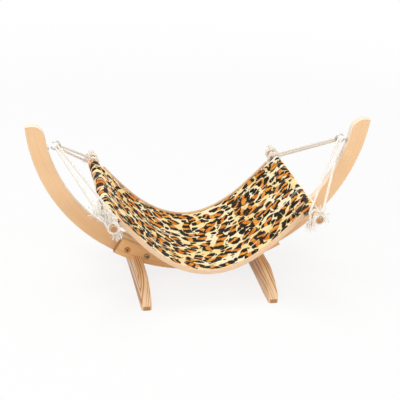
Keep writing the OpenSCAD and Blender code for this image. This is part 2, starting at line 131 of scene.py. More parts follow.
def add_piece(name, points, faces, material, uv=None, body="hammock", relief=None):
    """A smooth mesh from points in millimetres; uv holds a place for each corner of the faces, and
    relief a value for each point."""
    mesh = bpy.data.meshes.new(name)
    mesh.from_pydata((np.asarray(points) * MM).tolist(), [], faces)
    mesh.polygons.foreach_set("use_smooth", np.ones(len(mesh.polygons), bool))
    if uv is not None:
        layer = mesh.uv_layers.new(name="flat")
        corners = np.zeros((len(mesh.loops), 2), np.float32)
        corners[:len(uv)] = uv
        layer.data.foreach_set("uv", corners.ravel())
    if relief is not None:
        heights = mesh.attributes.new("relief", "FLOAT", "POINT").data
        heights.foreach_set("value", relief.ravel().astype(np.float32))
    mesh.materials.append(material)
    mesh.update()
    made = bpy.data.objects.new(name, mesh)
    bpy.context.scene.collection.objects.link(made)
    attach(made, body)
    return made


def swept(path, ref, radius, squash=1.0):
    """Closed tube along a path. Ring i is square to the path, with its point j at the distance
    radius[i, j] and the angle 2 pi j / sides from ref; squash scales it along ref. A point closes
    each end. Returns points, faces and corner places (metres along, share round)."""
    along = unit(np.gradient(path, axis=0))
    n = unit(ref - (ref * along).sum(-1, keepdims=True) * along)
    b = np.cross(n, along)
    rows, sides = radius.shape
    a = 2 * np.pi * np.arange(sides) / sides
    ring = path[:, None] + radius[..., None] * (
        squash * np.cos(a)[:, None] * n[:, None] + np.sin(a)[:, None] * b[:, None])
    points = np.concatenate([ring.reshape(-1, 3), path[[0, -1]]])
    quads, r, c = grid_faces(rows, sides, wrap=True)
    j = np.arange(sides)
    k = (j + 1) % sides
    start, end = rows * sides, rows * sides + 1
    last = (rows - 1) * sides
    caps = np.concatenate([np.stack([np.full(sides, start), j, k], -1),
                           np.stack([np.full(sides, end), last + k, last + j], -1)])
    length = gone_along(path)
    uv = np.stack([length[r] * MM, c / sides], -1).reshape(-1, 2)
    return points, quads.tolist() + caps.tolist(), uv


def threads(paths, radius, ref):
    """Many thin closed threads as one mesh: paths is (thread, point, xyz), radius (thread, point);
    each has four sides set out from ref, and a quad at either end."""
    count, steps = paths.shape[:2]
    along = unit(np.gradient(paths, axis=1))
    n = unit(ref - (ref * along).sum(-1, keepdims=True) * along)
    b = np.cross(n, along)
    a = np.pi / 2 * np.arange(4)
    ring = paths[:, :, None] + radius[:, :, None, None] * (
        np.cos(a)[:, None] * n[:, :, None] + np.sin(a)[:, None] * b[:, :, None])
    quads = grid_faces(steps, 4, wrap=True)[0]
    ends = np.array([[0, 1, 2, 3], [4 * steps - 1, 4 * steps - 2, 4 * steps - 3, 4 * steps - 4]])
    one = np.concatenate([quads, ends])
    faces = (np.arange(count)[:, None, None] * 4 * steps + one).reshape(-1, 4)
    return ring.reshape(-1, 3), faces.tolist()


def resampled(path, step):
    """The same path with points at equal steps along it."""
    length = gone_along(path)
    at = np.linspace(0, length[-1], int(round(length[-1] / step)) + 1)
    return np.stack([np.interp(at, length, path[:, k]) for k in range(3)], -1)


# Materials

class Wire:
    """An output of a material's nodes. Arithmetic on it adds Math nodes to the same material."""

    def __init__(self, tree, socket=None):
        self.tree, self.socket = tree, socket

    def node(self, kind, settings, inputs, out=0):
        """Adds a node: its settings first, then the values or links of its inputs."""
        made = self.tree.nodes.new("ShaderNode" + kind)
        for key, value in settings.items():
            setattr(made, key, value)
        for key, value in inputs.items():
            if isinstance(value, Wire):
                self.tree.links.new(value.socket, made.inputs[key])
            else:
                made.inputs[key].default_value = value
        if isinstance(out, tuple):
            return [Wire(self.tree, made.outputs[k]) for k in out]
        return Wire(self.tree, made.outputs[out])

    def math(self, operation, *values):
        return self.node("Math", {"operation": operation}, dict(enumerate(values)))

    def __add__(self, other):
        return self.math("ADD", self, other)

    def __sub__(self, other):
        return self.math("SUBTRACT", self, other)

    def __rsub__(self, other):
        return self.math("SUBTRACT", other, self)

    def __mul__(self, other):
        return self.math("MULTIPLY", self, other)

    def __truediv__(self, other):
        return self.math("DIVIDE", self, other)

    def __pow__(self, other):
        return self.math("POWER", self, other)

    def __abs__(self):
        return self.math("ABSOLUTE", self)

    __radd__, __rmul__ = __add__, __mul__

    def ramp(self, low, high):
        """0 below low, 1 above high, with a smooth step between."""
        return self.node("MapRange", {"interpolation_type": "SMOOTHSTEP"},
                         {"Value": self, "From Min": low, "From Max": high})

    def mix(self, first, second):
        """The first colour where this is 0, the second where it is 1."""
        return self.node("Mix", {"data_type": "RGBA"}, {0: self, 6: first, 7: second}, 2)

    def split(self):
        return self.node("SeparateXYZ", {}, {0: self}, (0, 1, 2))

    def vector(self, x, y, z):
        return self.node("CombineXYZ", {}, {0: x, 1: y, 2: z})

    def noise(self, place, scale, detail=2.0, rough=0.5):
        return self.node("TexNoise", {}, {"Vector": place, "Scale": scale, "Detail": detail,
                                          "Roughness": rough})


def srgb(red, green, blue):
    """A colour written in 0 to 255 as the screen shows it, made linear."""
    c = np.array([red, green, blue]) / 255
    return (*np.where(c <= 0.04045, c / 12.92, ((c + 0.055) / 1.055) ** 2.4).tolist(), 1.0)


def new_material(name):
    """An empty material and a wire to build its nodes with."""
    material = bpy.data.materials.new(name)
    material.use_nodes = True
    return material, Wire(material.node_tree)


def shade(material, base, rough, height=None, bump=0.3, depth=0.0005, **constants):
    """Links what changes over the surface to the shader, and sets the rest on its sockets."""
    tree = material.node_tree
    shader = tree.nodes["Principled BSDF"]
    tree.links.new(base.socket, shader.inputs["Base Color"])
    tree.links.new(rough.socket, shader.inputs["Roughness"])
    if height is not None:
        normal = height.node("Bump", {}, {"Strength": bump, "Distance": depth, "Height": height})
        tree.links.new(normal.socket, shader.inputs["Normal"])
    for name, value in constants.items():
        shader.inputs[name.replace("_", " ")].default_value = value
    return material


def bow_grain(wire):
    """Length along the bow's curve, and place across it: outward and sideways, in metres."""
    x, y, z = wire.node("TexCoord", {}, {}, "Object").split()
    below = BOW_Z * MM - z
    radius = (x * x + below * below) ** 0.5
    mid = BOW_MID_R * MM
    return wire.math("ARCTAN2", x, below) * mid, radius - mid, y


def foot_grain(wire):
    """Length along a cross foot, and place across it: upward and sideways, in metres."""
    x, y, z = wire.node("TexCoord", {}, {}, "Object").split()
    return y, z - FOOT_H * MM / 2, abs(x) - FOOT_X * MM


def bar_grain(wire):
    """Length along a spreader bar, and place across it, in metres."""
    x, y, z = wire.node("TexCoord", {}, {}, "Object").split()
    return y, z - BAR[1] * MM, abs(x) - BAR[0] * MM


def pine(name, grain, early, late, figure, ring_mm, pith, wave_mm, ends, edge=None, painted_low_shade=None):
    """Planed pine: rings round a pith beside the board, that wander along it, pale early wood that
    darkens to a late line of uneven strength, fine fibres, end grain beyond ends that is deepened by
    painted shade, painted shade towards the middle of the length, where the bow is lowest, and paler
    edges, with the faces across the board's thickness made paler by a painted highlight."""
    material, wire = new_material(name)
    along, up, side = grain(wire)
    wander = wire.noise(wire.vector(along * 3.2, up * 14, side * 14), 1.0, 3.0)
    ripple = wire.noise(wire.vector(along * 30, up * 80, side * 80), 1.0, 2.0)
    dx, dy = up + pith[0] * MM, side + pith[1] * MM
    ring = (dx * dx + dy * dy) ** 0.5 + ((wander - 0.5) * 2 + (ripple - 0.5) * 0.12) * (wave_mm * MM)
    year = ring / (ring_mm * MM)
    share = wire.math("FRACT", year)
    strength = wire.noise(wire.vector(wire.math("FLOOR", year) * 7.3, along * 2.5, 0.0), 1.0, 1.0)
    line = share.ramp(0.25, 0.92) * (1 - share.ramp(0.92, 1.0)) * strength.ramp(0.3, 0.7)
    fibre = wire.noise(wire.vector(along * 14, up * 900, side * 900), 1.0, 2.0, 0.6)
    pores = wire.noise(wire.vector(along * 60, up * 1500, side * 1500), 1.0, 1.0).ramp(0.66, 0.76)
    cloud = wire.noise(wire.vector(along * 9, up * 18, side * 18), 1.0, 2.0)
    tone = line * figure + (fibre - 0.5) * 0.22 + (cloud - 0.5) * 0.55 + pores * 0.08
    colour = tone.ramp(-0.15, 1.0).mix(early, late)
    # End faces: darker end grain, deepened further by painted shade.
    end_grain_and_shade = (abs(along) - ends * MM).ramp(-0.0009, -0.0003) * (0.6 + fibre * 0.4)
    colour = end_grain_and_shade.mix(colour, srgb(166, 112, 66))
    # Painted shade: darker towards the middle of the length, the lowest part of the bow.
    if painted_low_shade:
        colour = ((1 - abs(along).ramp(0.1, 0.42)) * 0.6).mix(colour, painted_low_shade)
    if edge:
        r_gap = (edge[0] * MM / 2) - abs(up)
        y_gap = (edge[1] * MM) - abs(side)
        worn = (1 - r_gap.ramp(0.0, 0.004)) * (1 - y_gap.ramp(0.0, 0.004))
        colour = (worn * 0.35).mix(colour, srgb(255, 240, 216))
        # Painted highlight: faces across the board's thickness, with normals off the Y axis, are made
        # pale like glare.
        _, facing, _ = wire.node("TexCoord", {}, {}, "Normal").split()
        painted_glare = 1 - abs(facing).ramp(0.3, 0.7)
        colour = (painted_glare * 0.65).mix(colour, srgb(255, 248, 234))
    return shade(material, colour, 0.42 + fibre * 0.18, line * 0.5 + fibre + pores * -0.6,
                 0.16, 0.0003, Specular_IOR_Level=0.4)


def worn_metal(name, bright, dark, rough, outer=None):
    """Plated metal with a cloudy film and fine scratches. Bolts take the outer tone beyond the feet,
    and have painted shade in their sockets and round their rims."""
    material, wire = new_material(name)
    place = wire.node("TexCoord", {}, {}, "Object")
    film = wire.noise(place, 160.0, 4.0, 0.6)
    x, y, z = place.split()
    scratch = wire.noise(wire.vector(x * 1800, y * 160, z * 700), 1.0, 2.0)
    colour = film.ramp(0.35, 0.7).mix(bright, dark)
    if outer:
        along, out, _ = bow_grain(wire)
        past_foot = abs(along) - math.radians(FOOT_ANGLE) * BOW_MID_R * MM
        aside = abs(past_foot) - math.radians(BOLT_ANGLE) * BOW_MID_R * MM
        away = (aside * aside + out * out) ** 0.5
        colour = (past_foot.ramp(-0.002, 0.002) * 0.85).mix(colour, outer)
        # Painted shade round the rim of each bolt head.
        colour = (away.ramp((BOLT_HEAD_D / 2 - 1) * MM, BOLT_HEAD_D / 2 * MM) * 0.6).mix(colour, dark)
        # Painted shade in each hex socket.
        socket = 1 - away.ramp((KEY_D / 2 - 0.4) * MM, KEY_D / 2 * MM)
        colour = (socket * 0.9).mix(colour, srgb(46, 30, 20))
    return shade(material, colour, rough + (film - 0.5) * 0.25 + (scratch - 0.5) * 0.15,
                 scratch + film, 0.15, 0.0002, Metallic=1.0)


def cotton(name, pale, shadow):
    """Twisted cotton: fine fibres that lie across each strand, and a soft soiling."""
    material, wire = new_material(name)
    u, v, _ = wire.node("UVMap", {"uv_map": "flat"}, {}).split()
    fibre = wire.noise(wire.vector(u * 900 + v * 60, v * 14 - u * 260, 0.0), 1.0, 3.0, 0.6)
    soil = wire.noise(wire.node("TexCoord", {}, {}, "Object"), 60.0, 2.0)
    tone = fibre.ramp(0.15, 0.7) * 0.6 + soil * 0.5
    return shade(material, tone.mix(shadow, pale), 0.85 + fibre * 0.1, fibre, 0.35, 0.0003,
                 Sheen_Weight=0.25, Specular_IOR_Level=0.2)


def fluff(name, pale, shadow):
    """Loose cotton fibres, slightly uneven in tone."""
    material, wire = new_material(name)
    place = wire.node("TexCoord", {}, {}, "Object")
    tone = wire.noise(place, 350.0, 3.0).ramp(0.25, 0.75)
    return shade(material, tone.mix(shadow, pale), 0.9 + tone * 0.05, tone, 0.2, 0.0002,
                 Sheen_Weight=0.3, Specular_IOR_Level=0.1)


def plain_cloth(name, pale, shadow, thread_mm):
    """Plain woven cloth: warp and weft cross over and under, with slubs and a soft mottling."""
    material, wire = new_material(name)
    u, v, _ = wire.node("UVMap", {"uv_map": "flat"}, {}).split()
    turn = 2 * math.pi / (thread_mm * MM)
    warp = wire.math("SINE", u * turn)
    weft = wire.math("SINE", v * turn)
    weave = warp * weft * 0.5 + 0.5
    slub = wire.noise(wire.vector(u * 90, v * 900, 0.0), 1.0, 2.0)
    cloud = wire.noise(wire.vector(u * 30, v * 30, 0.0), 1.0, 3.0)
    tone = weave * 0.3 + slub * 0.35 + cloud * 0.35
    return shade(material, tone.ramp(0.15, 0.7).mix(shadow, pale), 0.8 + weave * 0.12,
                 weave * 0.6 + slub, 0.35, 0.0003, Sheen_Weight=0.2, Specular_IOR_Level=0.2)


def leopard_cloth(name, facing_from):
    """Short plush printed with rosettes: round the middle of each cell of a warped pattern, a tawny
    patch, and on its rim two dark strokes that swell and taper; small dark dots fill the gaps. A
    painted highlight makes the backs of the gathers pale and painted shade darkens their valleys, and
    fine pale flecks on the nap are painted sheen. Past the top of the right bar the sleeve is faced
    with plain cream."""
    material, wire = new_material(name)
    flat = wire.node("UVMap", {"uv_map": "flat"}, {})
    u, v, _ = flat.split()
    bend_u = wire.noise(flat, 38.0, 2.0) - 0.5
    bend_v = wire.noise(wire.vector(u + 3.1, v + 1.7, 0.0), 38.0, 2.0) - 0.5
    pu, pv = u * 0.82 + bend_u * 0.014, v + bend_v * 0.014
    place = wire.vector(pu, pv, 0.0)
    cells, dot_cells = 39.0, 70.0
    gap, hue, centre = wire.node("TexVoronoi", {"voronoi_dimensions": "2D"},
                                 {"Vector": place, "Scale": cells, "Randomness": 0.75}, (0, 1, 2))
    cu, cv, _ = centre.split()
    chance, chance_b, chance_c = hue.split()
    angle = wire.math("ARCTAN2", pv - cv, pu - cu)
    lobes = (wire.math("COSINE", angle * 2 + chance * 40)
             + wire.math("COSINE", angle + chance_c * 40) * 0.5)
    squeeze = wire.math("COSINE", angle * 2 + chance_b * 40)
    reach = gap * (1 + squeeze * 0.16)
    size = 0.28 + chance_b * 0.1
    ragged = wire.noise(wire.vector(u + 7.7, v + 5.3, 0.0), 190.0, 2.0) - 0.5
    width = (lobes + 0.9) * 0.145 + ragged * 0.16
    width = wire.math("MINIMUM", width, 0.2 + ragged * 0.08)
    stroke = (width - abs(reach - size)).ramp(0.0, 0.03)
    patch = (size + 0.03 - reach + ragged * 0.1).ramp(-0.03, 0.05)
    dots, hue_b = wire.node("TexVoronoi", {"voronoi_dimensions": "2D"},
                            {"Vector": wire.vector(pu + 5.0, pv + 2.0, 0.0), "Scale": dot_cells,
                             "Randomness": 0.9}, (0, 1))
    dot_size = hue_b.split()[0] * 0.6 + 0.06 + ragged * 0.2
    dot = (dot_size - dots).ramp(0.0, 0.05) * (reach - size).ramp(0.15, 0.2)
    dark = wire.math("MAXIMUM", stroke, dot)
    cloud = wire.noise(flat, 16.0, 2.0)
    ground = cloud.ramp(0.3, 0.7).mix(srgb(255, 242, 204), srgb(252, 222, 150))
    tawny = wire.noise(flat, 55.0, 2.0).ramp(0.3, 0.7).mix(srgb(240, 164, 60), srgb(206, 110, 24))
    relief = wire.node("Attribute", {"attribute_name": "relief"}, {}, "Fac")
    # Painted highlight on the backs of the gathers, from their relief; it also lifts the dark marks a
    # little.
    painted_ridge_light = relief.ramp(0.3, 0.95)
    colour = (painted_ridge_light * 0.7).mix(patch.mix(ground, tawny), srgb(255, 250, 236))
    colour = (dark * (1 - painted_ridge_light * 0.12)).mix(colour, srgb(26, 12, 6))
    # Painted shade in the valleys of the gathers.
    colour = ((0 - relief).ramp(0.2, 0.9) * 0.5).mix(colour, srgb(84, 52, 28))
    facing = (u - (FLAT_U * MM + facing_from)).ramp(0.0, 0.0006)
    colour = facing.mix(colour, srgb(255, 246, 228))
    nap = wire.noise(flat, 1500.0, 2.0, 0.7)
    brushed = wire.noise(wire.vector(u * 120, v * 420, 0.0), 1.0, 2.0)
    # Painted sheen: pale flecks of the nap.
    colour = ((nap * 0.6 + brushed * 0.4 - 0.3) * 0.05).mix(colour, srgb(255, 226, 182))
    return shade(material, colour, 0.82 + nap * 0.12, nap + brushed * 0.6, 0.4, 0.0006,
                 Sheen_Weight=0.05, Sheen_Roughness=0.5, Specular_IOR_Level=0.12)


# Cords

def cord_half(level, first_y):
    """Half of a cord from the hook to its tail, as distance along the pull, height across it, and Y:
    an arc over the hook wire, a straight run, turns round the bar whose step along the bar settles
    from the run's slant, and a straight tail. Level is 1 for the upper cord and -1 for the lower."""
    bar_reach = np.linalg.norm(BAR - PIVOT)
    bend = math.sqrt(HOOK_EYE_R ** 2 - LANE ** 2) - HOOK_EYE_R
    run = np.array([bar_reach - bend, first_y])
    leave = math.atan2(*run) + math.asin(HOOK_TURN_R / np.linalg.norm(run))
    from_at = np.array([bend - HOOK_TURN_R * math.cos(leave), level * LANE])
    to_bar = np.array([bar_reach - from_at[0], -from_at[1]])
    start = math.atan2(to_bar[1], to_bar[0]) + level * (
        math.pi - math.acos(BAR_TURN_R / np.linalg.norm(to_bar)))
    down = math.atan2(-LIFT[1], -PULL[1])
    tail = down - 1.5 * math.pi if level > 0 else SLOPE - math.radians(TAIL_RISE) + 2.5 * math.pi
    sweep = level * (start - tail)
    settle = math.radians(SETTLE)
    surge = settle * (BAR_TURN_R / math.tan(leave) - TURN_STEP / (2 * math.pi))
    hook_steps, bar_steps = 12, 90
    a = np.linspace(0, leave, hook_steps)
    hook_part = np.stack([bend - HOOK_TURN_R * np.cos(a), np.full(hook_steps, level * LANE),
                          HOOK_TURN_R * np.sin(a)], -1)
    turn = np.linspace(0, sweep, bar_steps)
    b = start - level * turn
    bar_part = np.stack([
        bar_reach + BAR_TURN_R * np.cos(b), BAR_TURN_R * np.sin(b),
        first_y + TURN_STEP * turn / (2 * np.pi) + surge * (1 - np.exp(-turn / settle))], -1)
    way = unit(np.array([level * math.sin(tail), -level * math.cos(tail), TAIL_LEAN]))
    return hook_part, bar_part, way


def to_frame(q, side, end):
    """Places along the pull, across it and Y, brought into the frame; side and end mirror them."""
    xz = PIVOT + q[..., :1] * PULL + q[..., 1:2] * LIFT
    return np.stack([side * xz[..., 0], end * q[..., 2], xz[..., 1]], -1)


def rope_radius(twist, sides):
    """Radius round a rope of three strands that are rolled into each other: the outer edge of three
    circles set a third of a turn apart, turned by twist at each ring."""
    strand = 0.285 * CORD_D
    offset = 0.52 * CORD_D - strand
    a = 2 * np.pi * np.arange(sides) / sides - twist[:, None]
    third = (a + np.pi / 3) % (2 * np.pi / 3) - np.pi / 3
    return offset * np.cos(third) + np.sqrt(strand ** 2 - (offset * np.sin(third)) ** 2)


def hung_cord(side, level, first_y, name, cord_material, tail_material):
    """One cord from tail to tail as a twisted rope, and its two frayed tails as loose fibres."""
    hook_part, bar_part, way = cord_half(level, first_y)
    stub = bar_part[-1] + STUB_LEN * np.linspace(0.1, 1, 8)[:, None] * way
    half = np.concatenate([hook_part, bar_part, stub])
    route = np.concatenate([to_frame(half[:0:-1], side, -1), to_frame(half, side, 1)])
    path = resampled(route, PATH_STEP)
    length = gone_along(path)
    middle = length[-1] / 2
    run = np.linalg.norm(hook_part[-1] - bar_part[0])
    share = np.clip((abs(length - middle) - HOOK_TURN_R * 1.2) / run, 0, 1)
    share = (share * share * (3 - 2 * share) * np.pi / 2)[:, None]
    lift = np.array([side * LIFT[0], 0, LIFT[1]])
    ref = np.cos(share) * lift + np.sin(share) * np.array([0, 1, 0])
    radius = rope_radius(side * 2 * np.pi * length / ROPE_LAY, 21)
    points, faces, uv = swept(path, ref, radius)
    rope = add_piece(name + "_rope", points, faces, cord_material, uv)
    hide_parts(name)
    frays = [frayed_tail(to_frame(stub[-1], side, end), to_frame(stub[-1] + way, side, end),
                         *tail_habit(side, level, end)) for end in (-1, 1)]
    count = len(frays[0][0])
    points = np.concatenate([f[0] for f in frays])
    faces = frays[0][1] + (np.array(frays[1][1]) + count).tolist()
    fray = add_piece(name + "_fray", points, faces, tail_material)


def tail_habit(side, level, end):
    """How many tail lengths a tail reaches, how wide it fans in radians, and how far its tip droops in
    millimetres: upper tails run straight on; lower ones lie limp at the back, and in front stand out
    bushy on the right and long on the left."""
    if level > 0:
        return 1.05, 0.42, 0.0
    if end > 0:
        return 0.8, 0.9, 22.0
    return (0.85, 1.35, 3.0) if side > 0 else (2.3, 0.38, 0.0)


def frayed_tail(at, ahead, reach, fan, droop, yarns=14, fibres=3, steps=18):
    """The rope's end come undone: yarns that fan out as they run ahead, each still curled from its
    twist, and round each yarn fibres that drift off it and wave finely. All droop with the square of
    the share of their length, and what passes the end of the bar lies closer to it."""
    yarn_r, fibre_r, taper = 1.55, 0.4, 0.45
    inset, root_r, golden_turn = 4, 1.7, 0.618
    way = unit(ahead - at)
    side = unit(np.cross(way, np.array([0.31, 0.52, 0.8])))
    other = np.cross(way, side)
    t = np.linspace(0, 1, steps)[:, None]

    def round_way(angle):
        return np.cos(angle) * side + np.sin(angle) * other

    shape = (yarns, 1, 1, 1)
    a = (2 * np.pi * (np.arange(yarns) * golden_turn)).reshape(shape)
    spread = np.sqrt((np.arange(yarns) + 0.5) / yarns).reshape(shape)
    long = rng.uniform(0.72, 1.0, shape) * reach * TAIL_LEN
    tilt = spread * fan * t ** 0.6
    curl = 2.4 * reach * reach * t * (1.3 - t)
    twist = 2 * np.pi * (rng.uniform(1.4, 2.6, shape) * t + rng.uniform(0, 1, shape))
    yarn = (at - inset * way + root_r * spread * round_way(a) + curl * round_way(twist)
            + long * t * (np.cos(tilt) * way + np.sin(tilt) * round_way(a))
            - droop * t ** 2 * np.array([0, 0, 1]))
    shape = (yarns, fibres, 1, 1)
    b, wave_a = rng.uniform(0, 2 * np.pi, (2, *shape))
    drift = np.sqrt(rng.uniform(0, 1, shape))
    short = rng.uniform(0.6, 1.0, shape)
    fine = 0.5 * t * np.sin(2 * np.pi * rng.uniform(2.0, 3.4, shape) * t + wave_a)
    fibre = (yarn + drift * (0.6 + 4.0 * t ** 1.3) * round_way(b) + fine * round_way(b + 1.7)
             - (1 - short) * long * t * way)
    path = np.concatenate([yarn.reshape(-1, steps, 3), fibre.reshape(-1, steps, 3)])
    past_bar = np.clip(abs(path[..., 1]) - BAR_LEN / 2, 0, None)
    path[..., 1] -= 0.5 * past_bar * np.sign(path[..., 1])
    thick = np.where(np.arange(len(path)) < yarns, yarn_r, fibre_r)[:, None]
    return threads(path, thick * (1 - taper * t[:, 0]), np.array([0.43, -0.27, 0.86]))


# Sling

def trough_height(along, across):
    """Height of the hanging cloth at shares of its half span and half width. With s the square of the
    first, z = low + rise ((1 - bow) s + bow s^2) + fold, which leaves the bars in line with the cords;
    low dips in the middle, and the lengthwise folds are cosines that fade to nothing at both ends."""
    low = EDGE_Z - DIP * (1 - across ** 2)
    rise = TROUGH_Z - low
    bow = math.tan(SLOPE) * TROUGH_X / (2 * rise) - 1
    s = along ** 2
    fold = FOLD_H * np.cos(np.pi * FOLDS * across) * 4 * s * (1 - s)
    return low + rise * ((1 - bow) * s + bow * s * s) + fold * (1 - s)


TROUGH_ROWS, SLEEVE_ROWS, RUN_ROWS, CLOTH_COLS = 161, 30, 5, 181


def sling_grid(across):
    """Middle of the cloth before its wrinkles: the trough, then at either end a turn round the bar and a
    straight run back to the seam, alike at every place across. Rows go from left to right."""
    s = np.linspace(-1, 1, TROUGH_ROWS)[:, None]
    trough = np.stack(np.broadcast_arrays(s * TROUGH_X, CLOTH_HALF_W * across,
                                          trough_height(s, across)), -1)
    seam_angle = math.atan2(SEAM[1], SEAM[0]) - math.acos(SLEEVE_R / np.linalg.norm(SEAM))
    a = np.linspace(math.pi / 2, 2 * math.pi + seam_angle, SLEEVE_ROWS + 1)[1:, None]
    sleeve = BAR + SLEEVE_R * (np.cos(a) * DOWN + np.sin(a) * OUT)
    seam = BAR + SEAM[0] * DOWN + SEAM[1] * OUT
    t = np.linspace(0, 1, RUN_ROWS + 1)[1:, None]
    line = np.concatenate([sleeve, sleeve[-1] + t * (seam - sleeve[-1])])
    right = np.stack(np.broadcast_arrays(line[:, :1], CLOTH_HALF_W * across, line[:, 1:]), -1)
    left = right[::-1] * np.array([-1, 1, 1])
    return np.concatenate([left, trough, right])


def ripples(y, waves):
    """A sum of cosines of y, given as rows of wavelength, phase and height."""
    return sum(h * np.cos(2 * np.pi * y / w + p) for w, p, h in waves)


def wrinkle_field(far, y, seed):
    """Height of the wrinkles near one bar, at a distance down the cloth from it (below 0 on the sleeve)
    and a place across: gathers with round backs and narrow valleys, |sin| of an uneven count of y, that
    fade as exp(-(distance / reach)^1.5) and stand only outward on the sleeve, a pinched seam line, and
    slanting pulls, sin^2 along and bell-shaped across. Also their relief: near 1 on the backs and -1 in
    the valleys."""
    pitch, fine_pitch, reach, pull_count = 25, 13.4, 95, 9
    high, sleeve_high, mean = 5.0, 1.6, 0.8
    draw = np.random.default_rng(seed)
    down = np.clip(far, 0, None)
    waves = [(w, p, 1.0) for w, p in zip((71.0, 43.0, 27.0), draw.uniform(0, 6.28, 3))]
    uneven = y + 4.5 * ripples(y, waves) + 0.10 * down * np.sin(y / 53 + seed)
    gather = (abs(np.sin(np.pi * uneven / pitch)) ** 0.8
              + 0.35 * abs(np.sin(np.pi * uneven / fine_pitch + 0.8)) - mean)
    fade = np.exp(-(down / reach) ** 1.5) * (0.75 + 0.25 * np.cos(y / 37 + seed))
    on_sleeve = np.clip(-far / 6, 0, 1)
    height = high * fade * gather * (1 - on_sleeve) + sleeve_high * on_sleeve * (gather + mean)
    seam = -0.9 * np.exp(-((far - SEAM[0]) / 2.2) ** 2)
    pulls = 0
    for at, slant, start, long, wide, swell in zip(
            draw.uniform(-125, 125, pull_count), draw.normal(0, 0.35, pull_count),
            draw.uniform(5, 55, pull_count), draw.uniform(70, 150, pull_count),
            draw.uniform(7, 13, pull_count), draw.uniform(1.5, 3.0, pull_count)):
        t = np.clip((far - start) / long, 0, 1)
        pulls = pulls + swell * np.sin(np.pi * t) ** 2 * np.exp(-((y - at - slant * far) / wide) ** 2)
    return height + seam + pulls, fade * ((gather + mean) / 0.68 - 1)


def wrinkled(grid):
    """The grid moved along its own normals by the wrinkles of both bars and a slow unevenness, with the
    length along it and the relief of its wrinkles."""
    normal = grid_normal(grid)
    gone = np.linalg.norm(np.diff(grid, axis=0), axis=-1)
    length = np.concatenate([np.zeros((1, grid.shape[1])), np.cumsum(gone, axis=0)])
    first = SLEEVE_ROWS + RUN_ROWS
    far_left = length - length[first]
    far_right = length[first + TROUGH_ROWS - 1] - length
    y = grid[..., 1]
    height, relief = np.where(far_left < far_right, wrinkle_field(far_left, y, 5),
                              wrinkle_field(far_right, y, 8))
    uneven = 0.7 * np.sin(grid[..., 0] / 23 + y / 61 + 1.2) * np.sin(y / 19 - grid[..., 0] / 83)
    inside = np.clip(np.minimum(far_left, far_right) / 40, 0, 1)
    edge = 1 - np.clip(abs(y) / CLOTH_HALF_W, 0, 1) ** 10
    moved = (height + uneven * inside) * (0.35 + 0.65 * edge)
    return grid + moved[..., None] * normal, length, relief


def cloth_piece(name, grid, length, material, thick, relief=None):
    """A sheet of even thickness round the grid; its flat places are metres along and across."""
    rows, cols = grid.shape[:2]
    quads, r, c = grid_faces(rows, cols)
    c = np.minimum(c, cols - 1)
    along = (length - length[rows // 2] + FLAT_U) * MM
    across = (grid[..., 1] + FLAT_V) * MM
    uv = np.stack([along[r, c], across[r, c]], -1).reshape(-1, 2)
    made = add_piece(name, grid.reshape(-1, 3), quads.tolist(), material, uv, relief=relief)
    shell = made.modifiers.new("thickness", "SOLIDIFY")
    shell.thickness = thick * MM
    shell.offset = 0
    return made


def tape(path, name, material, half_h, half_w):
    """Folded tape along an edge: a flat rounded band, pinched a little at every stitch."""
    sides = 20
    a = 2 * np.pi * np.arange(sides) / sides
    squared = (abs(np.cos(a)) ** 4 + abs(np.sin(a)) ** 4) ** -0.25
    gone = gone_along(path)
    pucker = 1 + 0.035 * np.cos(2 * np.pi * gone / STITCH_STEP)
    radius = half_h * squared[None, :] * pucker[:, None]
    points, faces, uv = swept(path, np.array([0.0, 1.0, 0.0]), radius, half_w / half_h)
    return add_piece(name, points, faces, material, uv * np.array([1, 0.03]))


def stitch_row(path, name, material, long=2.9, high=0.42):
    """A row of stitches on a path: short threads, one for each step, thinner at both ends."""
    line = resampled(path, STITCH_STEP)
    way = unit(np.gradient(line, axis=0))
    t = np.linspace(-0.5, 0.5, 5)
    paths = line[:, None] + long * t[None, :, None] * way[:, None]
    radius = np.broadcast_to(high * np.array([0.4, 0.95, 1.0, 0.95, 0.4]), paths.shape[:2]).copy()
    points, faces = threads(paths, radius, np.array([0.12, 0.31, 0.94]))
    return add_piece(name, points, faces, material)


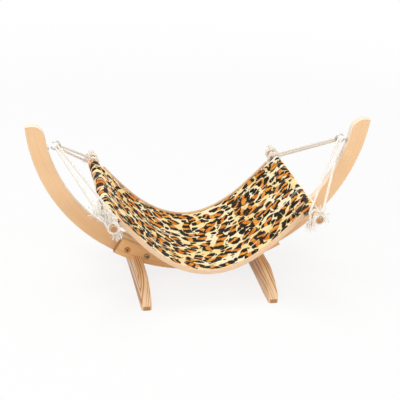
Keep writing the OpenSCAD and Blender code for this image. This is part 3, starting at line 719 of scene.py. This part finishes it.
def hung_sling(print_cloth, lining_cloth, tape_cloth, piping_cloth, thread_finish):
    """The printed cloth with its sleeves, the lining under it, tape on the long edges and round the
    sleeve ends, piping on the right sleeve and rows of stitches."""
    across = np.linspace(-1, 1, CLOTH_COLS)[None]
    cloth, length, relief = wrinkled(sling_grid(across))
    first, last = SLEEVE_ROWS + RUN_ROWS, SLEEVE_ROWS + RUN_ROWS + TROUGH_ROWS - 1
    sling = cloth_piece("sling_cloth_printed", cloth, length, print_cloth, PRINT_T,
                        relief)
    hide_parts("sling_cloth")
    trough = cloth[first:last + 1]
    inner = abs(np.linspace(-1, 1, TROUGH_ROWS)) <= LINING_X / TROUGH_X
    below = trough[inner]
    normal = grid_normal(below)
    lining = cloth_piece("sling_lining_cloth", below - LINING_DROP * normal,
                         length[first:last + 1][inner], lining_cloth, LINING_T)
    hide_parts("sling_lining")
    trims = []
    bound = abs(np.linspace(-1, 1, TROUGH_ROWS)) <= BINDING_REACH
    for end, word, col in ((-1, "front", 0), (1, "back", CLOTH_COLS - 1)):
        edge = trough[bound, col].copy()
        edge[:, 1] = end * EDGE_Y
        edge = resampled(edge, PATH_STEP)
        band = tape(edge, "binding_" + word + "_tape", tape_cloth, BINDING_H / 2, BINDING_W / 2)
        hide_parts("binding_" + word)
        face = edge + np.array([0, end * (BINDING_W / 2 + 0.1), 0])
        way = unit(np.gradient(face, axis=0))
        rise = np.stack([-way[:, 2], np.zeros(len(way)), way[:, 0]], -1)
        trims += [band, stitch_row(face + 2.6 * rise, "binding_" + word + "_stitches", thread_finish)]
        for side, rows, side_word in ((-1, slice(0, first + 1), "left"),
                                      (1, slice(last, None), "right")):
            rim = cloth[rows, col].copy()
            centre = np.array([side * BAR[0], 0, BAR[1]])
            away = unit((rim - centre) * np.array([1, 0, 1]))
            rim = rim + 0.5 * away
            rim[:, 1] = end * (CLOTH_HALF_W + 0.4)
            trims.append(tape(resampled(rim, PATH_STEP), "sleeve_hem_" + side_word + "_" + word,
                              tape_cloth, 2.6, 1.7))
    steps, pipe_r, pucker_step = 200, 2.2, 5
    y = np.linspace(-CLOTH_HALF_W, CLOTH_HALF_W, steps)
    lean, pipe_at = math.radians(65), SLEEVE_R + 2.4
    line = np.stack([np.full(steps, BAR[0] + pipe_at * math.cos(lean)), y,
                     np.full(steps, BAR[1] + pipe_at * math.sin(lean))], -1)
    pipe = np.full((steps, 12), pipe_r) * (1 + 0.04 * np.cos(2 * np.pi * y / pucker_step))[:, None]
    points, faces, uv = swept(line, np.array([0.0, 0.0, 1.0]), pipe)
    trims.append(add_piece("sleeve_piping", points, faces, piping_cloth, uv * np.array([1, 0.01])))
    for side, word in ((-1, "left"), (1, "right")):
        row = np.argmin(abs(length[first:last + 1, CLOTH_COLS // 2]
                            - (length[first, 0] + SEAM[0] if side < 0 else length[last, 0] - SEAM[0])))
        seam = trough[row, 3:-3] + PRINT_T / 2 * grid_normal(trough)[row, 3:-3]
        trims.append(stitch_row(seam, "sleeve_seam_" + word, thread_finish))


# Studio

def direct_view(wire):
    """1 for rays that show a thing to the camera, straight or by way of gloss or clear stuff, else 0."""
    seen, glossy, through = wire.node("LightPath", {}, {}, ("Is Camera Ray", "Is Glossy Ray",
                                                             "Is Transmission Ray"))
    return wire.math("MAXIMUM", seen, wire.math("MAXIMUM", glossy, through))


def studio():
    """A pale floor that keeps the shadow and fades to white far out, a white surround and three large
    soft lamps."""
    bpy.context.scene.view_settings.view_transform = "Standard"
    floor_finish, wire = new_material("floor_white")
    tree = floor_finish.node_tree
    tree.nodes.clear()
    view = direct_view(wire)
    paint = wire.node("BsdfDiffuse", {}, {"Color": (0.9, 0.9, 0.9, 1)})
    glow = wire.node("Emission", {}, {"Color": (1, 1, 1, 1), "Strength": 1.0})
    x, y, _ = wire.node("TexCoord", {}, {}, "Object").split()
    far = ((x * x + y * y) ** 0.5).ramp(0.5, 2.4)
    near_glow = 0.82
    both = wire.node("MixShader", {}, {0: view * (near_glow + far * (1 - near_glow)), 1: paint, 2: glow})
    tree.links.new(both.socket, tree.nodes.new("ShaderNodeOutputMaterial").inputs["Surface"])
    mesh = bpy.data.meshes.new("floor")
    half, drop = 6.0, -0.0003
    corners = [(-half, -half, drop), (half, -half, drop), (half, half, drop), (-half, half, drop)]
    mesh.from_pydata(corners, [], [(0, 1, 2, 3)])
    mesh.materials.append(floor_finish)
    floor = bpy.data.objects.new("floor", mesh)
    bpy.context.scene.collection.objects.link(floor)
    world = bpy.data.worlds.new("surround")
    world.use_nodes = True
    bpy.context.scene.world = world
    sky = Wire(world.node_tree)
    ambient = 0.45
    level = direct_view(sky) * (1 - ambient) + ambient
    world.node_tree.links.new(level.socket, world.node_tree.nodes["Background"].inputs["Strength"])
    world.node_tree.nodes["Background"].inputs["Color"].default_value = (1, 1, 1, 1)
    for name, place, power, size in (("key", (-1.2, -1.9, 1.9), 23, 1.7),
                                     ("fill", (1.7, -1.6, 0.6), 15, 1.8),
                                     ("top", (-0.4, 0.5, 2.6), 32, 1.6)):
        lamp = bpy.data.lights.new(name, "AREA")
        lamp.energy, lamp.size = power, size
        made = bpy.data.objects.new(name, lamp)
        bpy.context.scene.collection.objects.link(made)
        made.location = place
        made.rotation_euler = (Vector((0, 0, 0.15)) - Vector(place)).to_track_quat("-Z", "Y").to_euler()


photo_camera()

rope_cotton = cotton("rope_cotton", srgb(254, 248, 240), srgb(235, 221, 203))
loose_cotton = fluff("loose_cotton", srgb(255, 252, 244), srgb(255, 243, 226))
_, upper_turns, _ = cord_half(1, UPPER_FIRST_Y)
lower_first = upper_turns[-1, 2] + TURN_STEP + PASS_ROOM
for side, side_name in ((-1, "left"), (1, "right")):
    for level, first_y, level_name in ((1, UPPER_FIRST_Y, "upper"), (-1, lower_first, "lower")):
        hung_cord(side, level, first_y, f"cord_{side_name}_{level_name}", rope_cotton, loose_cotton)

hung_sling(leopard_cloth("leopard_plush", 0.262),
           plain_cloth("lining_cotton", srgb(246, 226, 196), srgb(226, 200, 164), 0.9),
           plain_cloth("tape_cotton", srgb(246, 211, 174), srgb(226, 186, 146), 0.8),
           plain_cloth("piping_cotton", srgb(255, 250, 234), srgb(246, 234, 210), 0.8),
           fluff("sewing_thread", srgb(252, 240, 220), srgb(228, 206, 176)))

# The bow's colour for the middle of its length is painted shade.
bow_pine = pine("bow_pine", bow_grain, srgb(249, 206, 158), srgb(228, 168, 108), figure=0.24,
                ring_mm=6.5, pith=(160, 110), wave_mm=14, ends=2 * BOW_R, edge=(BOW_W, BOW_T / 2),
                painted_low_shade=srgb(220, 166, 108))
cheek_pine = pine("cheek_pine", bow_grain, srgb(246, 196, 138), srgb(206, 142, 80), figure=0.45,
                  ring_mm=5.2, pith=(120, 70), wave_mm=9, ends=math.radians(CHEEK_ANGLE) * BOW_MID_R)
foot_pine = pine("foot_pine", foot_grain, srgb(247, 210, 167), srgb(194, 132, 80), figure=1.5,
                 ring_mm=4.2, pith=(50, 170), wave_mm=5, ends=FOOT_LEN / 2)
bar_pine = pine("bar_pine", bar_grain, srgb(240, 200, 150), srgb(196, 140, 88), figure=0.5,
                ring_mm=2.6, pith=(14, 9), wave_mm=4, ends=BAR_LEN / 2)
bronze = worn_metal("bronze", srgb(180, 150, 112), srgb(106, 80, 52), 0.38, srgb(212, 154, 94))
zinc = worn_metal("zinc", srgb(216, 213, 205), srgb(174, 170, 161), 0.35)
finishes = {"bow": bow_pine, "cheek": cheek_pine, "foot": foot_pine, "bar": bar_pine,
            "cheek_bolts": bronze, "sleeve_nuts": bronze, "foot_screws": zinc, "hook": zinc}
for name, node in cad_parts.items():
    finish = finishes.get(name) or finishes.get(name.split("_")[0])
    if finish:
        node.data.materials.clear()
        node.data.materials.append(finish)

studio()
